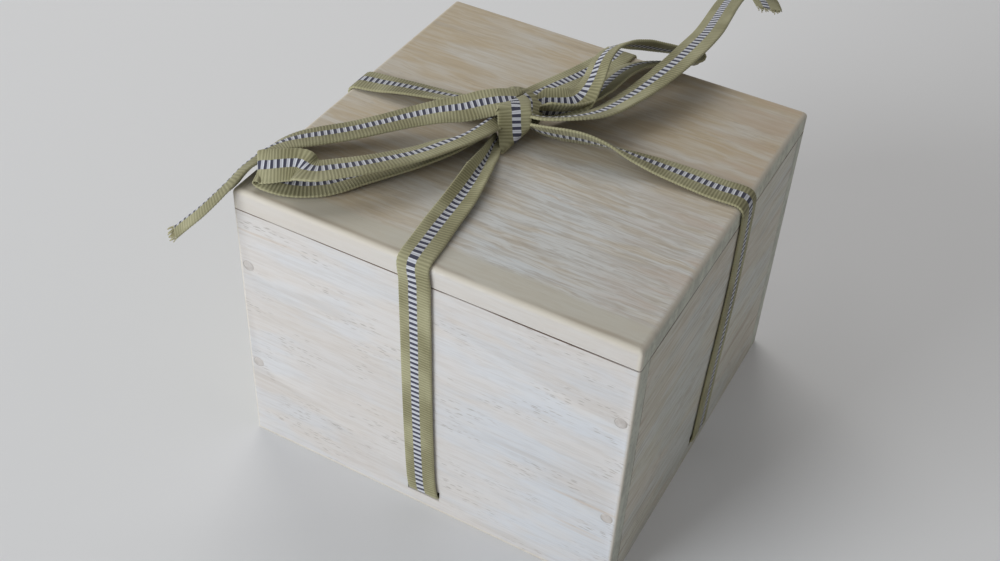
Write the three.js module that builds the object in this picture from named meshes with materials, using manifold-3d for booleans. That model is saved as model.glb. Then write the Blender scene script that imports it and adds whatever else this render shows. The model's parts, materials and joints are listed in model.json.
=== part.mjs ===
// A lidded keeping box of pale wood, tied with one flat woven cord that ends in a double bow.
// Millimetres. +X is right, +Y is back and +Z is up; the origin is under the box's centre.
import * as THREE from 'three';
import { mergeVertices } from 'three/addons/utils/BufferGeometryUtils.js';
import Module from 'manifold-3d';

const wasm = await Module();
wasm.setup();

// Box
const boxWidth = 140;
const boxDepth = 138;
const bodyHeight = 101;
const lidThickness = 7.8;
const wall = 7;
const cornerRadius = 1.1;
const lidEdgeRadius = 1.8;

// Bottom board, in grooves all round
const bottomThickness = 6;
const bottomRise = 9.5;
const grooveDepth = 2.5;
const grooveClearance = 0.3;

// Pegs in the corners, two to a joint, at shares of the body's height
const pegDiameter = 3.5;
const pegLength = 20;
const pegClearance = 0.3;
const pegHeightShares = [0.343, 0.777];

// Battens under the lid, and the pegs that hold them
const battenWidth = 8;
const battenHeight = 8;
const battenClearance = 0.6;
const battenChamfer = 1;
const battenPegDiameter = 3;
const battenPegDepth = 4.5;
const battenPegShares = [-0.55, 0.55];

// Cord, and the slots that it passes through
const cordWidth = 11.2;
const cordThickness = 1.2;
const cordGap = 0.3;
const slotClearance = 0.6;
const slotFloor = 5;
const frontPassShift = 0.3;
const sideSlotShift = 4.8;
const slotBendRadius = 2.3;
const endCrossingDrop = 0.4;
const sideCrossingDrop = 2.5;
const crossingReach = 30;
const seamGap = 0.3;

// Where each run leaves the lid's top and crosses the seam, from the middle of its side
const frontTopShift = -3.8;
const frontSeamShift = -3.1;
const backTopShift = -0.6;
const backSeamShift = -0.3;
const leftSeamShift = 2.6;
const rightTopShift = 11.8;
const rightSeamShift = 13;

// Knot
const knotRadius = 7.3;
const knotHeight = 11.6;
const knotX = -13.2;
const knotY = 2.4;
const knotSquareness = 0.9;

const overrun = 1;
const stepsPerStation = 2;
const roundSegments = 16;

const halfWidth = boxWidth / 2;
const halfDepth = boxDepth / 2;
const innerHalfWidth = halfWidth - wall;
const innerHalfDepth = halfDepth - wall;
const lidTop = bodyHeight + lidThickness;
const slotWidth = cordWidth + 2 * slotClearance;
const slotHeight = bottomRise - slotFloor;
const radians = Math.PI / 180;

const wood = new THREE.MeshStandardMaterial({ color: 0xcdbfa4, roughness: 0.68, metalness: 0 });
const innerWood = new THREE.MeshStandardMaterial({ color: 0xd2c4a8, roughness: 0.72, metalness: 0 });
const pegWood = new THREE.MeshStandardMaterial({ color: 0xb89c74, roughness: 0.6, metalness: 0 });
const cordCloth = new THREE.MeshStandardMaterial({ color: 0x8c8a58, roughness: 0.85, metalness: 0 });

const box = new THREE.Group();

function place(name, geometry, material) {
  const mesh = new THREE.Mesh(geometry, material);
  mesh.name = name;
  box.add(mesh);
}

// Solids for cutting

function toSolid(geometry) {
  const bare = geometry.clone();
  bare.deleteAttribute('normal');
  bare.deleteAttribute('uv');
  const merged = mergeVertices(bare);
  return new wasm.Manifold(new wasm.Mesh({
    numProp: 3,
    vertProperties: Float32Array.from(merged.attributes.position.array),
    triVerts: Uint32Array.from(merged.index.array),
  }));
}

function toGeometry(solid) {
  const mesh = solid.getMesh();
  const geometry = new THREE.BufferGeometry();
  geometry.setAttribute('position', new THREE.BufferAttribute(Float32Array.from(mesh.vertProperties), 3));
  geometry.setIndex(new THREE.BufferAttribute(Uint32Array.from(mesh.triVerts), 1));
  geometry.computeVertexNormals();
  return geometry;
}

function block(low, high) {
  const size = high.map((value, i) => value - low[i]);
  const geometry = new THREE.BoxGeometry(...size);
  return geometry.translate(...low.map((value, i) => value + size[i] / 2));
}

function rod(diameter, length) {
  return new THREE.CylinderGeometry(diameter / 2, diameter / 2, length, roundSegments);
}

function cut(geometry, cutters) {
  return toGeometry(cutters.reduce((solid, cutter) => solid.subtract(cutter), toSolid(geometry)));
}

// Walls: the front and back boards lie over the ends of the side boards

function boardPlan(x0, y0, x1, y1, roundedCorners) {
  const corners = [[x0, y0], [x1, y0], [x1, y1], [x0, y1]];
  const plan = new THREE.Shape();
  corners.forEach(([x, y], i) => {
    const radius = roundedCorners.includes(i) ? cornerRadius : 0;
    const before = corners[(i + 3) % 4];
    const after = corners[(i + 1) % 4];
    const from = [x + Math.sign(before[0] - x) * radius, y + Math.sign(before[1] - y) * radius];
    const to = [x + Math.sign(after[0] - x) * radius, y + Math.sign(after[1] - y) * radius];
    if (i === 0) plan.moveTo(...from);
    else plan.lineTo(...from);
    if (radius) plan.quadraticCurveTo(x, y, ...to);
  });
  return plan;
}

function wallBoard(x0, y0, x1, y1, roundedCorners) {
  const plan = boardPlan(x0, y0, x1, y1, roundedCorners);
  return new THREE.ExtrudeGeometry(plan, { depth: bodyHeight, bevelEnabled: false, curveSegments: 5 });
}

function pegHole(x, y) {
  return pegHeightShares.map((share) => {
    const hole = rod(pegDiameter + 2 * pegClearance, 2 * (pegLength + pegClearance));
    return toSolid(hole.translate(x, y, share * bodyHeight));
  });
}

const bottomHalfWidth = innerHalfWidth + grooveDepth;
const bottomHalfDepth = innerHalfDepth + grooveDepth;
const groove = toSolid(block(
  [-bottomHalfWidth - grooveClearance, -bottomHalfDepth - grooveClearance, bottomRise],
  [bottomHalfWidth + grooveClearance, bottomHalfDepth + grooveClearance,
    bottomRise + bottomThickness + grooveClearance],
));

function slotCutter(x, y) {
  const along = x === 0 ? [slotWidth / 2, wall + overrun] : [wall + overrun, slotWidth / 2];
  return toSolid(block(
    [x - along[0], y - along[1], slotFloor],
    [x + along[0], y + along[1], slotFloor + slotHeight],
  ));
}

const pegX = halfWidth - wall / 2;
const pegHoles = [-1, 1].flatMap((sx) => [-1, 1].flatMap((sy) => pegHole(sx * pegX, sy * halfDepth)));
const endSlots = [-1, 1].map((side) => slotCutter(0, side * (halfDepth - wall / 2)));
const sideSlots = [-1, 1].map((side) => slotCutter(side * (halfWidth - wall / 2), sideSlotShift));

const wallPlans = {
  front_wall: { box: [-halfWidth, -halfDepth, halfWidth, -innerHalfDepth], round: [0, 1], slots: endSlots },
  back_wall: { box: [-halfWidth, innerHalfDepth, halfWidth, halfDepth], round: [2, 3], slots: endSlots },
  left_wall: { box: [-halfWidth, -innerHalfDepth, -innerHalfWidth, innerHalfDepth], round: [], slots: sideSlots },
  right_wall: { box: [innerHalfWidth, -innerHalfDepth, halfWidth, innerHalfDepth], round: [], slots: sideSlots },
};
for (const [name, plan] of Object.entries(wallPlans)) {
  place(name, cut(wallBoard(...plan.box, plan.round), [groove, ...pegHoles, ...plan.slots]), wood);
}

place('bottom_board', block(
  [-bottomHalfWidth, -bottomHalfDepth, bottomRise],
  [bottomHalfWidth, bottomHalfDepth, bottomRise + bottomThickness],
), innerWood);

for (const [end, sy] of [['front', -1], ['back', 1]]) {
  for (const [hand, sx] of [['left', -1], ['right', 1]]) {
    pegHeightShares.forEach((share, i) => {
      const peg = rod(pegDiameter, pegLength);
      peg.translate(sx * pegX, sy * (halfDepth - pegLength / 2), share * bodyHeight);
      place(`corner_peg_${end}_${hand}_${i + 1}`, peg, pegWood);
    });
  }
}

// Lid: a flat board with rounded top edges, and four battens that drop inside the walls

function loft(rings) {
  const count = rings[0].length;
  const points = rings.flat();
  const faces = [];
  for (let r = 0; r + 1 < rings.length; r += 1) {
    for (let i = 0; i < count; i += 1) {
      const a = r * count + i;
      const b = r * count + (i + 1) % count;
      faces.push(a, b, b + count, a, b + count, a + count);
    }
  }
  const last = (rings.length - 1) * count;
  for (let i = 1; i + 1 < count; i += 1) {
    faces.push(0, i + 1, i, last, last + i, last + i + 1);
  }
  const geometry = new THREE.BufferGeometry();
  geometry.setAttribute('position', new THREE.Float32BufferAttribute(points.flat(), 3));
  geometry.setIndex(faces);
  return geometry;
}

function lidRing(inset, z) {
  const plan = boardPlan(-halfWidth, -halfDepth, halfWidth, halfDepth, [0, 1, 2, 3]);
  const outline = plan.getPoints(4).slice(0, -1);
  return outline.map((p) => [p.x * (1 - inset / halfWidth), p.y * (1 - inset / halfDepth), z]);
}

const lidEdgeSteps = 5;
const lidRings = [lidRing(0, bodyHeight)];
for (let i = 0; i <= lidEdgeSteps; i += 1) {
  const angle = (i / lidEdgeSteps) * (Math.PI / 2);
  const inset = lidEdgeRadius * (1 - Math.cos(angle));
  lidRings.push(lidRing(inset, lidTop - lidEdgeRadius + lidEdgeRadius * Math.sin(angle)));
}

const battenOutX = innerHalfWidth - battenClearance;
const battenOutY = innerHalfDepth - battenClearance;
const battenInY = battenOutY - battenWidth;
const battenMidX = battenOutX - battenWidth / 2;
const battenMidY = battenOutY - battenWidth / 2;

function batten(length) {
  const half = battenWidth / 2;
  const profile = new THREE.Shape();
  profile.moveTo(-half, 0);
  profile.lineTo(-half, -battenHeight);
  profile.lineTo(half - battenChamfer, -battenHeight);
  profile.lineTo(half, -battenHeight + battenChamfer);
  profile.lineTo(half, 0);
  const bar = new THREE.ExtrudeGeometry(profile, { depth: length, bevelEnabled: false });
  return bar.translate(0, 0, -length / 2).rotateX(Math.PI / 2);
}

const battenPlans = [
  { name: 'front', turn: -Math.PI / 2, middle: [0, -battenMidY], length: 2 * battenOutX },
  { name: 'back', turn: Math.PI / 2, middle: [0, battenMidY], length: 2 * battenOutX },
  { name: 'left', turn: Math.PI, middle: [-battenMidX, 0], length: 2 * battenInY },
  { name: 'right', turn: 0, middle: [battenMidX, 0], length: 2 * battenInY },
];
const battenPegLength = battenHeight + battenPegDepth;
const battenPegHoles = [];
for (const plan of battenPlans) {
  const [x, y] = plan.middle;
  plan.pegs = battenPegShares.map((share) => {
    const reach = share * plan.length / 2;
    return x === 0 ? [reach, y] : [x, reach];
  });
  for (const [px, py] of plan.pegs) {
    const hole = rod(battenPegDiameter + 2 * pegClearance, battenPegLength + overrun).rotateX(Math.PI / 2);
    const top = bodyHeight + battenPegDepth + pegClearance;
    hole.translate(px, py, top - (battenPegLength + overrun) / 2);
    battenPegHoles.push(toSolid(hole));
  }
}
for (const plan of battenPlans) {
  const bar = batten(plan.length).rotateZ(plan.turn).translate(...plan.middle, bodyHeight);
  place(`lid_batten_${plan.name}`, cut(bar, battenPegHoles), innerWood);
  plan.pegs.forEach(([px, py], i) => {
    const peg = rod(battenPegDiameter, battenPegLength).rotateX(Math.PI / 2);
    peg.translate(px, py, bodyHeight + battenPegDepth - battenPegLength / 2);
    place(`batten_peg_${plan.name}_${i + 1}`, peg, pegWood);
  });
}
place('lid_board', cut(loft(lidRings), battenPegHoles), wood);

// Cord: each run is a list of stations, chosen by hand along the run, with the place of its middle
// (x, y and height above the lid), the compass and tilt angles of the line across it, and its fold

const frontRun = [
  [-9.3, -8.6, 2.7, -2, 10, 60], [-9, -13, 2.2, 0, 9, 56], [-8.2, -20.6, 1.7, 4, 4, 49],
  [-6.9, -28.3, 1.4, 8, 0, 34], [-5.8, -39.3, 1.1, 9, 0, 18], [-5.2, -50.8, 0.9, 7, 0, 8],
  [-4.4, -60, 0.9, 4, 0, 0],
];
const rightRun = [
  [-3.8, 3.6, 5.6, -76, 54, 0], [-0.2, 3.1, 5.8, -78, 59, 0], [6, 3.6, 6, -78, 58, 0],
  [14, 5.6, 5.7, -80, 52, 0], [22, 7.4, 4.9, -84, 42, 0], [31, 8.8, 3.1, -88, 23, 0],
  [40, 9.8, 1.9, -90, 10, 0], [50, 10.4, 1.3, -90, 3, 0], [60, 11, 0.9, -90, 0, 0],
];
const leftRun = [
  [-20, 8.8, 4.2, -86, 24, 0], [-31, 7.6, 3.4, -84, 22, 0], [-39.5, 6.6, 2.7, -82, 18, 0],
  [-47, 5.4, 2.4, -82, 14, 0], [-54.3, 4.4, 1.9, -84, 9, 0], [-60.5, 3.5, 1.3, -86, 3, 0],
];
const backRun = [
  [-13.6, 12, 3.2, -18, 0, 0], [-12.4, 24, 2.2, -18, 4, 0], [-9.8, 33.8, 1.4, -22, 4, 0],
  [-5.8, 44.9, 0.9, -22, 0, 0], [-2.4, 55.6, 0.9, -12, 0, 0], [-1, 60, 0.9, -6, 0, 0],
];
const leftTail = [
  [-15.8, 1.3, 11.4, -62, -15, 0], [-19.7, -2.1, 10.9, -57, -18, 0], [-23.4, -5.6, 10.1, -58, -15, 0],
  [-29.9, -10.2, 9.2, -57, -7, 0], [-36.5, -15.5, 7.9, -54, -1, 0], [-42.5, -21.4, 6.8, -50, 4, 0],
  [-50.8, -30, 5.6, -46, 6, 0], [-58, -36.4, 4.8, -45, 6, 0], [-63.6, -41, 4.2, -44, 10, -4],
  [-67.1, -44.7, 3.8, -44, 18, -10], [-69.6, -48.9, 3.3, -44, 28, -18], [-71, -53.8, 2.7, -44, 35, -24],
  [-71.6, -58.6, 2.3, -40, 41, -26], [-71.9, -63, 1.8, -40, 47, -26], [-72.6, -67, 0.2, -42, 44, -26],
  [-74.5, -70.2, -2.4, -44, 38, -26], [-78.6, -74.7, -7.6, -46, 32, -25],
  [-83.6, -78.7, -13, -45, 27, -22], [-86.3, -81.3, -16, -44, 24, -16],
];
const leftLoop = [
  [-15.4, -6.5, 8.3, -48, 25, -34], [-16.3, -12.7, 8.4, -46, 24, -26],
  [-17.8, -18.4, 8.4, -44, 20, -14], [-20, -23.5, 8.3, -42, 16, -4], [-23.7, -32.4, 8.8, -40, 15, 0],
  [-29, -40.5, 9.2, -40, 12, 0], [-35.5, -48.4, 9.3, -44, 8, 0], [-41.9, -54.6, 9.2, -51, 5, 0],
  [-45.5, -57.5, 9, -55, 3, 0], [-49.4, -58.2, 8.7, -57, -3, 0], [-52.2, -57, 8.2, -58, -25, 0],
  [-56.5, -58.4, 7.4, -58, -28, 0], [-61.3, -60.5, 6.2, -60, -34, 0], [-65.4, -61.2, 4.8, -58, -36, 0],
  [-64.2, -60.6, 3.3, -58, -26, 0], [-59.8, -60.6, 2.2, -58, -13, 0], [-53, -58.8, 1.6, -55, -8, 0],
  [-45.5, -53.4, 1.4, -50, -4, 0], [-40, -46, 1.5, -44, 4, 0], [-34, -37.8, 1.9, -38, 8, 0],
  [-27.5, -28.5, 2.4, -36, 12, 0], [-21.4, -18.5, 3.1, -40, 18, 0], [-17.6, -10.3, 4, -42, 22, 0],
];
const rightTail = [
  [-1.3, 5.8, 7.9, -63, 32, 0], [6.8, 9.5, 8.7, -60, 29, 0], [14.3, 17.7, 8.7, -42, 22, 0],
  [18.6, 30.5, 8.6, -24, 19, 0], [22.3, 41.4, 10.3, -14, 16, 0], [25.4, 52.8, 12.4, -8, 14, 0],
  [27.2, 65, 13.6, -4, 13, 0], [27.8, 75.5, 13.8, -2, 17, 0], [27, 86, 13.4, 0, 22, 0],
  [25.8, 96.5, 12.6, 1, 24, 0], [25, 107, 11.5, 1, 23, 0], [25.4, 117.5, 9.2, 0, 18, 0],
  [27.4, 126.5, 5.4, -2, 12, 0], [29.8, 132.6, 0.8, -4, 8, 0], [31.4, 136.4, -4.4, -6, 6, 0],
];
const rightLoop = [
  [-7.8, 14.2, 6.6, -62, -34, 0], [-1.6, 17.2, 6.8, -62, -34, 0], [4, 21.6, 7.4, -57, -25, 0],
  [5.4, 28.2, 10.6, -36, 14, 0], [4.2, 39, 14.4, -38, 27, 0], [4.6, 45.5, 15.2, -48, 30, 0],
  [6.8, 52.2, 14.4, -58, 38, 0], [10, 58.7, 11.9, -62, 45, 0], [13.8, 65.2, 8.8, -62, 44, 0],
  [18.2, 70.8, 6.2, -62, 42, 0], [23.2, 74.6, 4.6, -62, 40, 0], [27, 76, 3.4, -62, 39, 0],
  [26.6, 74.2, 2.5, -60, 37, 0], [22.2, 69, 3.3, -50, 33, 0], [15.8, 63.6, 3.9, -38, 28, 0],
  [10.6, 57, 4.6, -28, 24, 0], [8, 49.5, 4.9, -20, 22, 0], [6.8, 41, 4.6, -18, 22, 0],
  [6.6, 33.4, 4.3, -28, 27, 0], [6.8, 26.8, 4.6, -46, 38, 0], [5.1, 20.4, 5.2, -60, 46, 0],
  [2.3, 15.9, 5.9, -70, 53, 0], [-0.9, 12.8, 6.5, -76, 62, 0], [-4.6, 10.8, 6.8, -80, 66, 0],
];
const wrapRun = [
  [-11.9, 4.8, 11.2, -102, 6, 0], [-10.4, 3.4, 11.8, -114, 5, 0], [-8.7, 0.5, 12.1, -139, 0, 0],
  [-8, 0.1, 10.4, -140, -1, 0], [-7.5, -0.6, 8.1, -132, -1, 0], [-6.7, -1.5, 5.8, -123, -2, 0],
  [-5.9, -2.3, 3.6, -115, -6, 0], [-5.6, -2.4, 1.9, -106, -10, 0],
];

function acrossLine(azimuth, elevation) {
  const level = Math.cos(elevation * radians);
  return new THREE.Vector3(
    level * Math.cos(azimuth * radians),
    level * Math.sin(azimuth * radians),
    Math.sin(elevation * radians),
  );
}

function onLid(run) {
  return run.map(([x, y, height, azimuth, elevation, fold]) => ({
    middle: new THREE.Vector3(x, y, lidTop + height),
    across: acrossLine(azimuth, elevation),
    fold,
  }));
}

// The section has eight points: both edges, and the two faces at each shoulder and at the fold line
function section(middle, across, normal, fold, width, thickness) {
  const rise = normal.clone().multiplyScalar(Math.sin(fold * radians) * Math.sign(normal.z || 1));
  const level = across.clone().multiplyScalar(Math.cos(fold * radians));
  const half = width / 2;
  const shoulder = half - thickness / 2;
  const at = (reach, lift) => {
    const wing = rise.clone().multiplyScalar(Math.abs(reach)).add(level.clone().multiplyScalar(reach));
    const face = normal.clone().multiplyScalar(lift * Math.cos(fold * radians));
    const inward = across.clone().multiplyScalar(-Math.sign(reach) * lift * Math.sin(fold * radians));
    return middle.clone().add(wing).add(face).add(inward.multiplyScalar(Math.sign(normal.z || 1)));
  };
  const mid = normal.clone().multiplyScalar(thickness / 2);
  return [
    at(half, 0), at(shoulder, thickness / 2), middle.clone().add(mid), at(-shoulder, thickness / 2),
    at(-half, 0), at(-shoulder, -thickness / 2), middle.clone().sub(mid), at(shoulder, -thickness / 2),
  ].map((p) => p.toArray());
}

function ribbon(stations, grow = 0) {
  const middles = new THREE.CatmullRomCurve3(stations.map((s) => s.middle));
  const acrosses = new THREE.CatmullRomCurve3(stations.map((s) => s.across));
  const steps = (stations.length - 1) * stepsPerStation;
  const rings = [];
  for (let i = 0; i <= steps; i += 1) {
    const t = i / steps;
    const before = Math.min(Math.floor(t * (stations.length - 1)), stations.length - 2);
    const part = t * (stations.length - 1) - before;
    const fold = stations[before].fold * (1 - part) + stations[before + 1].fold * part;
    const tangent = middles.getTangent(t);
    const across = acrosses.getPoint(t);
    across.addScaledVector(tangent, -across.dot(tangent)).normalize();
    const normal = new THREE.Vector3().crossVectors(tangent, across);
    const width = cordWidth + 2 * grow;
    rings.push(section(middles.getPoint(t), across, normal, fold, width, cordThickness + 2 * grow));
  }
  return loft(rings);
}

// A side's outward direction, the direction along it, the line across the cord on it, how far its
// face is from the middle, and how far the cord's passage is from the middle of the side
const sides = {
  front: { out: [0, -1], along: [1, 0], across: [1, 0], half: halfDepth, passAt: frontPassShift },
  back: { out: [0, 1], along: [1, 0], across: [1, 0], half: halfDepth, passAt: 0 },
  left: { out: [-1, 0], along: [0, 1], across: [0, -1], half: halfWidth, passAt: sideSlotShift },
  right: { out: [1, 0], along: [0, 1], across: [0, -1], half: halfWidth, passAt: sideSlotShift },
};
const offFace = cordGap + cordThickness / 2;

function sideStation(side, reach, along, z) {
  return {
    middle: new THREE.Vector3(
      side.out[0] * reach + side.along[0] * along,
      side.out[1] * reach + side.along[1] * along,
      z,
    ),
    across: new THREE.Vector3(...side.across, 0),
    fold: 0,
  };
}

// Over the lid's rounded edge and down its side, as far as the seam
const bendSteps = 3;
function overEdge(side, alongTop, alongSeam) {
  const radius = lidEdgeRadius + offFace;
  const stations = [];
  for (let i = 0; i <= bendSteps; i += 1) {
    const angle = (i / bendSteps) * (Math.PI / 2);
    const reach = side.half - lidEdgeRadius + radius * Math.sin(angle);
    const z = lidTop - lidEdgeRadius + radius * Math.cos(angle);
    stations.push(sideStation(side, reach, alongTop, z));
  }
  stations.push(sideStation(side, side.half + offFace, alongSeam, bodyHeight + lidThickness / 4));
  stations.push(sideStation(side, side.half + offFace, alongSeam, bodyHeight + seamGap / 2));
  return stations;
}

const crossings = {
  front: { top: frontTopShift, seam: frontSeamShift },
  back: { top: backTopShift, seam: backSeamShift },
  left: { top: leftSeamShift, seam: leftSeamShift },
  right: { top: rightTopShift, seam: rightSeamShift },
};

// Down a wall, with shares of the way from the slot's place to the seam's place at shares of the height
const leanHeightShares = [0.98, 0.79, 0.6, 0.34, 0.12];
const leanShares = {
  front: [1, 0.88, 0.76, 0.53, 0.2],
  back: [1, 0.9, 0.7, 0.4, 0.1],
  left: [1, 0.8, 0.6, 0.3, 0.1],
  right: [1, 1.05, 0.86, 0.35, 0.06],
};

const slotCordZ = slotFloor + cordGap + cordThickness / 2;

function downWall(name) {
  const side = sides[name];
  const seamAt = crossings[name].seam;
  const reach = side.half + offFace;
  const stations = [sideStation(side, reach, seamAt, bodyHeight - seamGap / 2)];
  leanHeightShares.forEach((share, i) => {
    const along = side.passAt + (seamAt - side.passAt) * leanShares[name][i];
    stations.push(sideStation(side, reach, along, share * bodyHeight));
  });
  for (let i = 0; i <= bendSteps; i += 1) {
    const angle = (i / bendSteps) * (Math.PI / 2);
    const z = slotCordZ + slotBendRadius * (1 - Math.sin(angle));
    const inward = reach - slotBendRadius * (1 - Math.cos(angle));
    stations.push(sideStation(side, inward, side.passAt, z));
  }
  stations.push(sideStation(side, side.half - wall, side.passAt, slotCordZ));
  return stations;
}

function passUnder(first, second, drop) {
  const z = bottomRise - cordGap - cordThickness / 2 - drop;
  const middle = [first, second].map((name) => {
    return sideStation(sides[name], crossingReach, sides[name].passAt, z);
  });
  return [...downWall(first), ...middle, ...downWall(second).reverse()];
}

place('cord_pass_front_back', ribbon(passUnder('front', 'back', endCrossingDrop)), cordCloth);
place('cord_pass_left_right', ribbon(passUnder('left', 'right', sideCrossingDrop)), cordCloth);

// The knot: a rounded lump under its wrap band, which the other runs enter from all sides

function lump(grow) {
  const ball = new THREE.SphereGeometry(1, roundSegments, roundSegments / 2);
  const position = ball.attributes.position;
  const square = (v) => Math.sign(v) * Math.abs(v) ** knotSquareness;
  const flat = knotRadius + grow;
  const tall = knotHeight / 2 + grow;
  for (let i = 0; i < position.count; i += 1) {
    const x = knotX + flat * square(position.getX(i));
    const y = knotY + flat * square(position.getY(i));
    position.setXYZ(i, x, y, lidTop + cordGap + knotHeight / 2 + tall * square(position.getZ(i)));
  }
  return ball;
}

const wrap = onLid(wrapRun);
const knotSpace = toSolid(lump(cordGap));
const wrapSpace = toSolid(ribbon(wrap, cordGap));

place('cord_knot', cut(lump(0), [wrapSpace]), cordCloth);
place('cord_wrap', ribbon(wrap), cordCloth);

const runs = {
  cord_top_front: [...onLid(frontRun), ...overEdge(sides.front, crossings.front.top, crossings.front.seam)],
  cord_top_right: [...onLid(rightRun), ...overEdge(sides.right, crossings.right.top, crossings.right.seam)],
  cord_top_left: [...onLid(leftRun), ...overEdge(sides.left, crossings.left.top, crossings.left.seam)],
  cord_top_back: [...onLid(backRun), ...overEdge(sides.back, crossings.back.top, crossings.back.seam)],
  cord_loop_left: onLid(leftLoop),
  cord_loop_right: onLid(rightLoop),
  cord_tail_left: onLid(leftTail),
  cord_tail_right: onLid(rightTail),
};
for (const [name, stations] of Object.entries(runs)) {
  place(name, cut(ribbon(stations), [knotSpace, wrapSpace]), cordCloth);
}

export default box;
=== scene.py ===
import json
import math

import bmesh
import bpy
import numpy as np
from mathutils import Matrix, Vector

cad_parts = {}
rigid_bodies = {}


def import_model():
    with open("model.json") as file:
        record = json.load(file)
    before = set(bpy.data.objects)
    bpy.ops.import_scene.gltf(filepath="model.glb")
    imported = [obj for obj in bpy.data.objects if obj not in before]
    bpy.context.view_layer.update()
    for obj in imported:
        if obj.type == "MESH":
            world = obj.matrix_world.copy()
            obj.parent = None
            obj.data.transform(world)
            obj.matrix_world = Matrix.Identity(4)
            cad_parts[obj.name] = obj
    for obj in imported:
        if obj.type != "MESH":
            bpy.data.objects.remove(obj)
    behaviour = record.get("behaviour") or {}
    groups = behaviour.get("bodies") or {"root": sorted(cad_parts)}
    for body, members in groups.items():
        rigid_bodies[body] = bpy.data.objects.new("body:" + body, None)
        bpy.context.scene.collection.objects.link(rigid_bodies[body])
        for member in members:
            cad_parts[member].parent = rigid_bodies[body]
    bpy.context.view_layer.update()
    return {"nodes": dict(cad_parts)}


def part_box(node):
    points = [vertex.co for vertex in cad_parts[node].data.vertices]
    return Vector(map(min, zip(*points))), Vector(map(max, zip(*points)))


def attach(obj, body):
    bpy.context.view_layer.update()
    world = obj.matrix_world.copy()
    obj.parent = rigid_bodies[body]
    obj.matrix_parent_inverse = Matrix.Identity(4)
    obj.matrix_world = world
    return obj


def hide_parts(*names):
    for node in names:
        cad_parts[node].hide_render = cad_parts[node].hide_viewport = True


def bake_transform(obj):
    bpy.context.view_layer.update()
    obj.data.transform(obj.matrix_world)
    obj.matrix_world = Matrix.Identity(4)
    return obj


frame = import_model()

# A keeping box of pale wood, tied with one flat woven cord. Metres, +Z up, origin under the box.

lidLow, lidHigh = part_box("lid_board")
sideLow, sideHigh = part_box("right_wall")
halfWidth = lidHigh.x
halfDepth = lidHigh.y
seamHeight = lidLow.z
lidTop = lidHigh.z
wallThickness = sideHigh.x - sideLow.x


def shown(name, data):
    # an object in the scene that shows the data
    piece = bpy.data.objects.new(name, data)
    bpy.context.scene.collection.objects.link(piece)
    return piece


def assigned(piece, body, slot, *nodes):
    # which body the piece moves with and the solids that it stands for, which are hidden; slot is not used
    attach(piece, body)
    if nodes:
        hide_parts(*nodes)
    return piece


def applied(piece, modifier):
    # the modifier's shape becomes the piece's own mesh
    bpy.context.view_layer.update()
    made = bpy.data.meshes.new_from_object(piece.evaluated_get(bpy.context.evaluated_depsgraph_get()))
    piece.modifiers.remove(modifier)
    piece.data = made
    return piece


# Camera, as the photograph was taken

cameraLook = {
    "place": (0.1521, -0.3222, 0.3645),
    "yaw": 26.71,
    "pitch": 41.42,
    "roll": 3.246,
    "lens": 48.15,
    "sensor": 36.0,
}
cameraData = bpy.data.cameras.new("camera")
cameraData.lens = cameraLook["lens"]
cameraData.sensor_width = cameraLook["sensor"]
camera = shown("camera", cameraData)
camera.matrix_world = (
    Matrix.Translation(cameraLook["place"])
    @ Matrix.Rotation(math.radians(cameraLook["yaw"]), 4, "Z")
    @ Matrix.Rotation(math.radians(90 - cameraLook["pitch"]), 4, "X")
    @ Matrix.Rotation(math.radians(cameraLook["roll"]), 4, "Z")
)
bpy.context.scene.camera = camera
bpy.context.scene.view_settings.view_transform = "Standard"
print("camera placed")


# Shader sheets


def setUp(made, settings, sockets, feed):
    # a new node's settings, and what goes into its sockets, by name or by number
    for name, value in settings.items():
        setattr(made, name, value)
    pairs = sockets.items() if isinstance(sockets, dict) else enumerate(sockets)
    for name, value in pairs:
        feed(made.inputs[name], value)


class Wire:
    # a socket's value that takes part in sums
    def __init__(self, sheet, socket):
        self.sheet = sheet
        self.socket = socket

    def maths(self, operation, *values):
        return self.sheet.node("Math", {"operation": operation}, values)

    def __add__(self, other):
        return self.maths("ADD", self, other)

    __radd__ = __add__

    def __sub__(self, other):
        return self.maths("SUBTRACT", self, other)

    def __rsub__(self, other):
        return self.maths("SUBTRACT", other, self)

    def __mul__(self, other):
        return self.maths("MULTIPLY", self, other)

    __rmul__ = __mul__

    def __truediv__(self, other):
        return self.maths("DIVIDE", self, other)

    def __abs__(self):
        return self.maths("ABSOLUTE", self)

    def fraction(self):
        return self.maths("FRACT", self)

    def wave(self):
        # 1 at each whole number and 0 halfway between
        return 0.5 + 0.5 * self.maths("COSINE", self * 2 * math.pi)

    def atMost(self, other):
        return self.maths("MINIMUM", self, other)

    def atLeast(self, other):
        return self.maths("MAXIMUM", self, other)

    def between(self, low, high):
        # 0 at low, 1 at high, smooth and held outside; low may be the larger
        return self.sheet.node(
            "MapRange", {"interpolation_type": "SMOOTHSTEP"},
            {"Value": self, "From Min": low, "From Max": high},
        )

    def betweenShares(self, size, shares):
        return self.between(size * shares[0], size * shares[1])


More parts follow.
